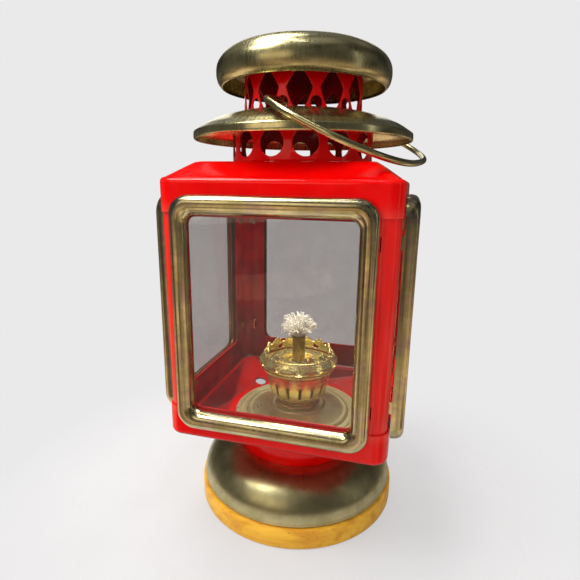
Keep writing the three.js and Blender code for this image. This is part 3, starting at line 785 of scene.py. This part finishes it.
# ---- Stack ----
def stack():
    r, holes, hole_r, first = COLLAR.values()
    roof_pan = pan("roof_pan_pressed", "roof_pan", 1, r + 0.5, ROOF_FLAT_CORNER)
    fit(roof_pan, "roof", "red_enamel", ENAMEL, "roof_pan")

    low, top = height_span("vent_collar")
    pitch = 2 * math.pi * r / holes
    hole_z = low + 11.6
    wall = [(-1.7 * pitch, low + 1), (1.7 * pitch, low + 1), (1.7 * pitch, top), (-1.7 * pitch, top)]
    shapes = [wall, *[circle(hole_r, k * pitch, hole_z, 48) for k in (-1, 0, 1)]]

    def flared(azimuth, z, depth):
        flare = max(0.0, low + 3 - z) ** 1.6 * 1.1
        return at_azimuth(azimuth, r - SHEET / 2 + depth + flare, z)

    levels = [low + k * 0.5 for k in range(3, 7)]
    collar = pierced("vent_collar_pierced", shapes, pitch, holes, first, SHEET, flared, levels=levels)
    fit(collar, "roof", "red_enamel", ENAMEL, "vent_collar")

    r = radius_of("canopy")
    low, top = height_span("canopy")
    line = runs(
        [(r - 0.5, low), (r - 0.05, low + 0.6), (r, low + 2), (r - 0.15, low + 3.7), (r - 0.8, low + 4.35)],
        [
            (r - 2.4, low + 5.4),
            (r - 6.5, low + 8),
            (r - 14, low + 11.4),
            (r - 22.5, low + 13.8),
            (r - 29, low + 14.9),
        ],
    )
    canopy = turned("canopy_spun", sheet_outline(line), uneven=0.12)
    fit(canopy, "roof", "aged_brass", SPUN_BRASS, "canopy")

    ring_of_struts()

    top = height_span("top_cap")[1]
    line = runs(
        [
            (47.4, top - 24.3),
            (49.3, top - 21.8),
            (50.1, top - 17.2),
            (49.2, top - 12.4),
            (45.7, top - 8),
            (39.3, top - 4.6),
            (28, top - 1.9),
            (14, top - 0.45),
            (0, top),
        ]
    )
    line[-1].x = 0
    inner = [p - Vector((SHEET, 0.15) if p.x > 44 else (0, 0.85)) for p in line]
    outline = [*line[::-1], Vector((47.0, top - 24.4)), *inner]
    cap = turned("top_cap_spun", outline, uneven=0.1)
    fit(cap, "roof", "aged_brass", SPUN_BRASS, "top_cap")
    bail()


def ring_of_struts():
    """The upper ring: twelve hourglass struts, each with a round hole between its legs."""
    r, struts, hole_r, first = STRUT_RING.values()
    low, top = height_span("vent_ring")
    pitch = 2 * math.pi * r / struts
    waist = low + 12.1
    right = smooth_line(
        [
            (1.2, waist - 11),
            (pitch / 2 - 5.6, waist - 8.6),
            (pitch / 2 - 3.5, waist - 4.4),
            (pitch / 2 - 2.1, waist - 0.3),
        ],
        5,
    )
    upper = [(pitch / 2 - 2.1, waist + 0.3), (4.4, waist + 4.4), (1.9, waist + 7.7), (0.7, waist + 8.6)]
    right += smooth_line(upper, 4)
    opening = [(p.x, p.y) for p in right] + [(-p.x, p.y) for p in reversed(right)]
    wall = [(-2 * pitch, low + 0.4), (2 * pitch, low + 0.4), (2 * pitch, top), (-2 * pitch, top)]
    shapes = [wall]
    for k in (-1, 0, 1):
        shapes.append([(x + (k + 0.5) * pitch, y) for x, y in opening])
        shapes.append(circle(hole_r, k * pitch, low + 4.9, 32))

    def upright(azimuth, z, depth):
        return at_azimuth(azimuth, r - SHEET / 2 + depth, z)

    ring = pierced("vent_ring_pierced", shapes, pitch, struts, first, SHEET, upright, bevel=0.16)
    fit(ring, "roof", "red_enamel", ENAMEL, "vent_ring")


def bail():
    """The wire bail: a hook at each end through the ring, and a loop bent by hand between them."""

    def hook(r):
        return at_azimuth(STRUT_RING["first"], r, PIVOT_Z)

    turn, skew, hang = (math.radians(a) for a in (-8.65, -5, -26))
    along = Vector((math.sin(turn) * math.cos(skew), -math.cos(turn) * math.cos(skew), math.sin(skew)))
    side = Vector((math.cos(turn), math.sin(turn), 0))
    upward = -side.cross(along)
    out = side * math.cos(hang) + upward * math.sin(hang)
    half_width, half_reach, middle, power = 62.9, 43, 30.8, 2 / 2.6
    wire_r, count = 1.7, 22
    start = math.asin(middle / half_reach) * 0.9
    loop_middle = Vector((1.9, 0, 249))
    loop = []
    for i in range(count + 1):
        angle = -start + (math.pi + 2 * start) * i / count
        c, s = math.cos(angle), math.sin(angle)
        width = half_width * math.copysign(abs(c) ** power, c)
        reach = middle + half_reach * math.copysign(abs(s) ** power, s)
        loop.append(loop_middle + along * width + out * reach)
    path = [hook(30.5), hook(34), hook(37.5), *loop, hook(-37.5), hook(-34), hook(-30.5)]
    wire = mesh_object("bail_wire", *swept(smooth_line(path, 8), lambda t: wire_r, 18))
    fit(wire, "bail", "aged_brass", WIRE_BRASS, "bail_handle")


# ---- Font ----
def font():
    r = radius_of("font_bowl")
    low, top = height_span("font_bowl")
    shoulder = [(r - 2.6, low + 0.6), (r - 0.4, low + 2.6), (r, low + 6)]
    line = runs([(0, low), (r - 7, low)], shoulder, [(r, top)])
    inner = [Vector((max(p.x - SHEET, 0), p.y + (SHEET if p.y < low + 3 else 0))) for p in line]
    bowl = turned("font_bowl_drawn", [*line, *inner[::-1]])
    fit(bowl, "font", "font_brass", FONT_BRASS, "font_bowl")

    r = radius_of("font_top")
    low, top = height_span("font_top")
    line = runs(
        [(r - 0.3, low + 0.1), (r, low + 0.5), (r - 0.7, low + 1.2)],
        [(r - 2, low + 0.9), (r - 3.1, low + 0.85)],
        [(r - 3.6, low + 1.35), (r - 4.2, low + 1.4)],
        [(r - 5.2, low + 1.0), (r - 7.4, low + 1.0)],
        [(r - 8.2, low + 1.9), (r - 9.6, low + 2.35), (r - 10.8, low + 2)],
        [(r - 12.6, low + 2.3), (r - 18, low + 3.9), (r - 24, low + 5.2)],
        [(r - 24.8, low + 5.9), (r - 26, low + 6.0), (r - 26.4, low + 5.7)],
        [(r - 28.8, top)],
        per_span=4,
    )
    lid = turned("font_top_pressed", sheet_outline(line, 0.7, 3), uneven=0.04)
    fit(lid, "font", "font_brass", FONT_BRASS, "font_top")
    low, top = height_span("font_collar")
    r = radius_of("font_collar")
    line = [(THREAD_R, low), (r - 1.8, low), (r - 1.8, low + 2.5)]
    line += smooth_line([(r - 0.5, low + 2.5), (r, low + 2.9), (r - 0.5, low + 3.4)], 3)
    line += [(r - 1, low + 3.6), (r - 1, top - 0.2), (r - 1.2, top), (THREAD_R, top)]
    fit(turned("font_collar_turned", line), "font", "burner_brass", BURNER_BRASS, "font_collar")


# ---- Burner ----
def profile_place(line, half_thick, flutes=None):
    """Bends a flat sheet onto a turned profile, with up as the distance along line. Returns the
    bending function and the line's length."""
    lengths = [0.0]
    for a, b in zip(line, line[1:]):
        lengths.append(lengths[-1] + (b - a).length)

    def place(azimuth, up, depth):
        up = min(max(up, 0), lengths[-1] - 1e-6)
        i = max(k for k in range(len(line) - 1) if lengths[k] <= up)
        t = (up - lengths[i]) / (lengths[i + 1] - lengths[i])
        point = line[i].lerp(line[i + 1], t)
        along = (line[i + 1] - line[i]).normalized()
        outward = Vector((along.y, -along.x))
        swell = flutes(azimuth, up / lengths[-1]) if flutes else 0
        point += outward * (depth - half_thick + swell)
        return at_azimuth(azimuth, point.x, point.y)

    return place, lengths[-1]


def burner_bowl():
    """The lower bowl: a pierced and fluted gallery with long slots."""
    low, top = height_span("burner_bowl")
    r = radius_of("burner_bowl")
    slots, first = BOWL_SLOTS.values()
    thick, swell, slot_r = 0.6, 0.32, 0.95
    line = smooth_line([(r - 10.2, low), (r - 8.7, low + 0.2), (r - 6, low + 1.7), (r - 4, low + 3.9)], 4)
    line += smooth_line([(r - 3.2, low + 5), (r - 1.7, low + 11), (r - 0.9, low + 15.5), (r, top)], 6)

    def flutes(azimuth, share):
        band = max(0.0, 1 - abs(share - 0.62) / 0.3)
        return swell * band * math.cos(math.radians((azimuth - first) * slots))

    place, length = profile_place(line, thick / 2, flutes)
    pitch = 2 * math.pi * (r - 2) / slots
    edge = 1.6 * pitch
    shapes = [[(-edge, 0), (edge, 0), (edge, length), (-edge, length)]]
    for k in (-1, 0, 1):
        slot = [(x, y + length * 0.72) for x, y in circle(slot_r, steps=16)[:9]]
        slot += [(x, y + length * 0.44) for x, y in circle(slot_r, steps=16)[8:] + [(slot_r, 0)]]
        shapes.append([(x + k * pitch, y) for x, y in slot])
        shapes.append(circle(0.7, (k + 0.5) * pitch, length * 0.33, 12))
    cuts = {"bevel": 0.1, "strips": 12, "levels": [length * k / 22 for k in range(1, 22)]}
    bowl = pierced("burner_bowl_pierced", shapes, pitch, slots, first, thick, place, **cuts)
    fit(bowl, "burner", "burner_brass", BURNER_BRASS, "burner_bowl")


def burner_crown():
    """The upper gallery: keyholes, a beaded line, small holes and pointed tips."""
    low, top = height_span("burner_crown")
    r = radius_of("burner_crown")
    prongs, thick, eye_r = CROWN_PRONGS, 0.55, 2.1
    line = smooth_line([(r - 0.75, low), (r - 0.1, low + 1.2), (r - 1, low + 3.2), (r - 3.2, low + 5.9)], 5)
    line += smooth_line([(r - 3.5, low + 6.4), (r - 4.6, low + 8.3), (r - 5.1, top)], 5)
    place, length = profile_place(line, thick / 2)
    pitch = 2 * math.pi * (r - 2) / prongs
    crest = [(-0.5, 0.64), (-0.41, 0.66), (-0.31, 0.76), (-0.34, 0.88)]
    crest += [(-0.21, 0.85), (-0.13, 0.92), (-0.06, 0.93), (0, 1.0)]
    crest += [(-x, y) for x, y in reversed(crest[:-1])]
    wall = [(-1.5 * pitch, 0)]
    for k in (-1, 0, 1):
        wall += [((x + k) * pitch, y * length) for x, y in crest[:-1]]
    wall += [(1.5 * pitch, length * crest[0][1]), (1.5 * pitch, 0)]
    shapes = [wall]
    for k in (-1, 0, 1):
        shapes.append(circle(0.95, k * pitch, length * 0.84, 16))
        for aside in (-0.5, 0.5):
            shapes.append(circle(0.5, (k + aside * 0.4) * pitch, length * 0.66, 10))
        eye = circle(eye_r, steps=24)[7:] + circle(eye_r, steps=24)[:6]
        middle, stem = (k + 0.5) * pitch, length * 0.52
        keyhole = [(middle + x, y + 2.9) for x, y in eye]
        shapes.append([*keyhole, (middle + 0.75, stem), (middle - 0.75, stem)])
    cuts = {"bevel": 0.09, "strips": 14, "levels": [length * k / 14 for k in range(1, 14)]}
    crown = pierced("burner_crown_pierced", shapes, pitch, prongs, 0, thick, place, **cuts)
    fit(crown, "burner", "burner_brass", BURNER_BRASS, "burner_crown")

    bead_z, bead_r, beads = low + 6.3, r - 3.35, 84
    outline = circle(0.42, bead_r, bead_z, 10)
    line_of_beads = turned(
        "burner_crown_beads",
        outline,
        steps=beads * 6,
        relief=lambda a, i: 0.22 * math.cos(a * beads) if outline[i][0] > bead_r else 0,
    )
    fit(line_of_beads, "burner", "burner_brass", BURNER_BRASS)


def burner_rim():
    """The knurled ring between the bowl and the crown."""
    low, top = height_span("burner_rim")
    r = radius_of("burner_rim")
    teeth = 110
    outline = runs(
        [(r - 3.5, low + 0.1), (r - 2.4, low + 0.3)],
        [(r - 1.3, low + 1.1), (r - 0.6, low + 2.0), (r - 0.15, low + 2.9), (r - 0.4, low + 3.5)],
        [(r - 1.3, low + 3.9), (r - 1.8, top)],
        [(r - 1.9, top - 0.5), (r - 3.4, low + 1.2)],
        per_span=4,
    )
    knurl = [i for i, p in enumerate(outline) if r - 1.6 < p.x < r - 0.3 and p.y < low + 2.6]
    rim = turned(
        "burner_rim_knurled",
        outline,
        steps=teeth * 6,
        relief=lambda a, i: 0.16 * math.cos(a * teeth) if i in knurl else 0,
    )
    fit(rim, "burner", "burner_brass", BURNER_BRASS, "burner_rim")


def wick_tube():
    low, top = height_span("wick_tube")
    r = radius_of("wick_tube")
    bore = r - 0.5
    line = [(bore, low), (r, low + 0.3), (r, 72), (r, 84), (r, top - 0.9)]
    line += [(r + 0.12, top - 0.45), (r - 0.05, top), (bore, top - 0.1), (bore, 84), (bore, 72)]
    seam, lap, lap_height = math.radians(-12), 0.35, 0.28

    def lapped(a, i):
        """The tube is rolled from sheet: its edge stands up along one line."""
        gap = (a - seam + math.pi) % (2 * math.pi) - math.pi
        return lap_height if 0 < gap < lap and line[i][0] >= r else 0

    tube = turned("wick_tube_rolled", line, 96, relief=lapped)
    fit(tube, "burner", "burner_brass", TUBE_BRASS, "wick_tube")


def burner():
    bright = ("burner_brass", BURNER_BRASS)
    fit_refined("burner_base", "turned", 0.15, "burner", *bright)
    burner_bowl()
    burner_crown()
    burner_rim()
    fit_refined("burner_deck", "pressed", 0.12, "burner", *bright)
    wick_tube()
    fit_refined("winder_shaft", "rod", 0.1, "winder", "winder_steel", STEEL)
    fit_refined("winder_wheel", "toothed", 0.08, "winder", *bright)
    fit_refined("winder_knob", "milled", 0.15, "winder", *bright)


def wick():
    """Cotton wick: a twisted core in the tube, and its top teased out into loose strands."""
    chance = random.Random(7)
    top = height_span("wick_tube")[1]
    low = height_span("wick")[0]
    reach = radius_of("wick")
    parts = []
    yarns, core_r, turns, stations = 9, 2.2, 9, 120
    for yarn in range(yarns):
        path = []
        for k in range(stations + 1):
            t = k / stations
            a = 360 * (yarn / yarns + turns * t)
            path.append(at_azimuth(a, core_r, low + (top + 1 - low) * t))
        parts.append(swept(path, lambda t: 1.0, 7))
    strands, root_r = 120, 2.9
    for i in range(strands):
        a = 360 * i * GOLDEN_SHARE + chance.uniform(-9, 9)
        lean = math.sqrt((i + 0.5) / strands)
        length = chance.uniform(0.85, 1.12)
        left = max(0.0, math.cos(math.radians(a + 80)))
        out = reach * (0.2 + 0.98 * lean) * length * (0.86 + 0.3 * left)
        rise = (14.5 - 9.5 * lean**2.2) * chance.uniform(0.86, 1.06)
        droop = (1.2 + 3.4 * left) * lean**4
        root = root_r * lean
        points = [at_azimuth(a, root, top - 0.6), at_azimuth(a, root + out * 0.16, top + rise * 0.3)]
        wander = chance.uniform(-16, 16)
        points.append(at_azimuth(a + wander * 0.5, min(root + out * 0.5, reach), top + rise * 0.72))
        points.append(at_azimuth(a + wander, min(out * 0.88, reach), top + rise * 0.98 - droop * 0.35))
        points.append(at_azimuth(a + wander * 1.4, min(out * 1.06, reach), top + rise - droop))
        thick = chance.uniform(0.34, 0.56)
        line = smooth_line(points, 5)
        parts.append(swept(line, lambda t, w=thick: w * (0.85 + 0.3 * t - 0.6 * t**4), 7))
    tuft = joined_parts("wick_frayed", parts, crease=80)
    fit(tuft, "wick", "wick_cotton", COTTON, "wick")


# ---- Studio ----
def floor():
    """A pale floor that fades into the backdrop away from the lantern."""
    reach, sides, z = 900, 48, -0.2
    points = [Vector((0, 0, z)), *(at_azimuth(360 * k / sides, reach, z) for k in range(sides))]
    obj = mesh_object("floor", points, [(0, 1 + k, 1 + (k + 1) % sides) for k in range(sides)])
    paint = Paint("pale_floor", Roughness=0.6)
    tone = paint.ramp(paint.grain(30), (0.3, (0.5, 0.495, 0.5)), (0.7, (0.54, 0.535, 0.54)))
    paint.set(Base_Color=tone)
    glow = paint.node("ShaderNodeEmission", Color=BACKDROP)
    seen = paint.node("ShaderNodeLightPath").outputs["Is Camera Ray"]
    lit = paint.blended(paint.math("MULTIPLY", seen, 0.6), paint.shader, glow)
    fade = paint.spread(paint.vector("LENGTH", paint.place), 0.1, 0.21)
    faded = paint.blended(fade, lit, paint.node("ShaderNodeBsdfTransparent"))
    paint.feed(paint.output.inputs["Surface"], faded.outputs[0])
    obj.data.materials.append(paint.material)
    obj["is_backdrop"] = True


def world():
    """A pale backdrop for the camera, and a dim room for reflections and fill."""
    room = bpy.data.worlds.new("room")
    scene.world = room
    room.use_nodes = True
    nodes = Nodes(room.node_tree)
    place = nodes.node("ShaderNodeTexCoord").outputs["Generated"]
    height = nodes.node("ShaderNodeSeparateXYZ", Vector=place).outputs[2]
    stops = []  # from straight down to straight up
    for at, level, green, blue in (
        (0.0, 0.6, 0.82, 0.62),
        (0.33, 0.42, 0.72, 0.5),
        (0.41, 0.17, 0.74, 0.56),
        (0.48, 0.07, 0.9, 0.8),
        (0.56, 0.03, 0.98, 0.94),
        (0.8, 0.05, 0.98, 0.96),
        (1.0, 0.14, 0.98, 0.96),
    ):
        stops.append((at, (level, level * green, level * blue)))
    tone = nodes.ramp(nodes.spread(height, -1, 1), *stops)
    clutter = nodes.node("ShaderNodeTexNoise", Vector=place, Scale=2.4, Detail=1.5).outputs[0]
    uneven = nodes.vector("SCALE", tone, nodes.spread(clutter, 0.4, 0.62, 0.35, 2.8))

    mirrored = nodes.node("ShaderNodeBackground", Color=uneven)
    fill = nodes.node("ShaderNodeBackground", Color=(1, 0.99, 0.98, 1), Strength=0.55)
    seen = nodes.node("ShaderNodeBackground", Color=BACKDROP)
    rays = nodes.node("ShaderNodeLightPath").outputs
    unseen = nodes.blended(rays["Is Glossy Ray"], fill, mirrored)
    whole = nodes.blended(rays["Is Camera Ray"], unseen, seen)
    nodes.node("ShaderNodeOutputWorld", Surface=whole.outputs[0])


def softbox(name, place, target, size, power, colour=(1, 1, 1), mirrored=True):
    """A rectangular light that the camera does not see; mirrored is whether reflections show it."""
    data = bpy.data.lights.new(name, "AREA")
    data.shape = "RECTANGLE"
    data.size, data.size_y = size
    data.energy, data.color = power, colour
    obj = bpy.data.objects.new(name, data)
    scene.collection.objects.link(obj)
    obj.location = place
    obj.visible_glossy = mirrored
    obj.visible_camera = False
    obj.rotation_mode = "QUATERNION"
    obj.rotation_quaternion = (Vector(target) - Vector(place)).to_track_quat("-Z", "Y")


def lights():
    middle, daylight, sky = (0, 0, 0.14), (1, 0.985, 0.95), (1, 0.99, 0.95)
    softbox("window", (-0.34, -0.31, 0.8), middle, (0.26, 0.34), 4.0, daylight)
    softbox("left_fill", (-0.7, -0.2, 0.5), middle, (0.4, 0.4), 2.6, daylight, mirrored=False)
    softbox("left_wall", (-0.24, -0.62, 0.37), middle, (0.42, 0.24), 0.42, (1, 0.83, 0.62))
    softbox("warm_wall", (-0.17, -0.85, 0.03), (0, -0.07, 0.08), (0.42, 0.1), 0.1, (1, 0.62, 0.36))
    softbox("skylight", (-0.24, 0.1, 0.92), (0, 0, 0.24), (0.4, 0.28), 2.2, sky)
    softbox("overhead_strip", (-0.12, -0.12, 0.88), middle, (0.5, 0.035), 0.6)
    softbox("back_wall", (-0.18, 0.62, 0.46), (0, 0, 0.1), (0.5, 0.34), 0.8, (1, 0.98, 0.92))
    softbox("back_window", (-0.31, 0.63, 0.75), (0, 0, 0.27), (0.34, 0.24), 1.6, sky, mirrored=False)
    softbox("side_strip", (0.62, -0.1, 0.32), middle, (0.05, 0.5), 0.08, (1, 0.97, 0.9))
    softbox("ceiling", (0.05, -0.05, 0.9), middle, (0.6, 0.6), 2.2, mirrored=False)
    softbox("front_fill", (0.25, -0.9, 0.3), middle, (0.6, 0.6), 1.7, mirrored=False)
    softbox("inside", (0, -0.005, 0.204), (0, 0, 0), (0.07, 0.07), 0.26, (1, 0.98, 0.94))


camera()
foot()
body()
stack()
font()
burner()
wick()
floor()
world()
lights()
scene.view_settings.view_transform = "Standard"

seen_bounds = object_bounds()
rows = {"cad": cad_bounds, "visual": seen_bounds}
{key: [list(corner) for corner in box] for key, box in rows.items()}
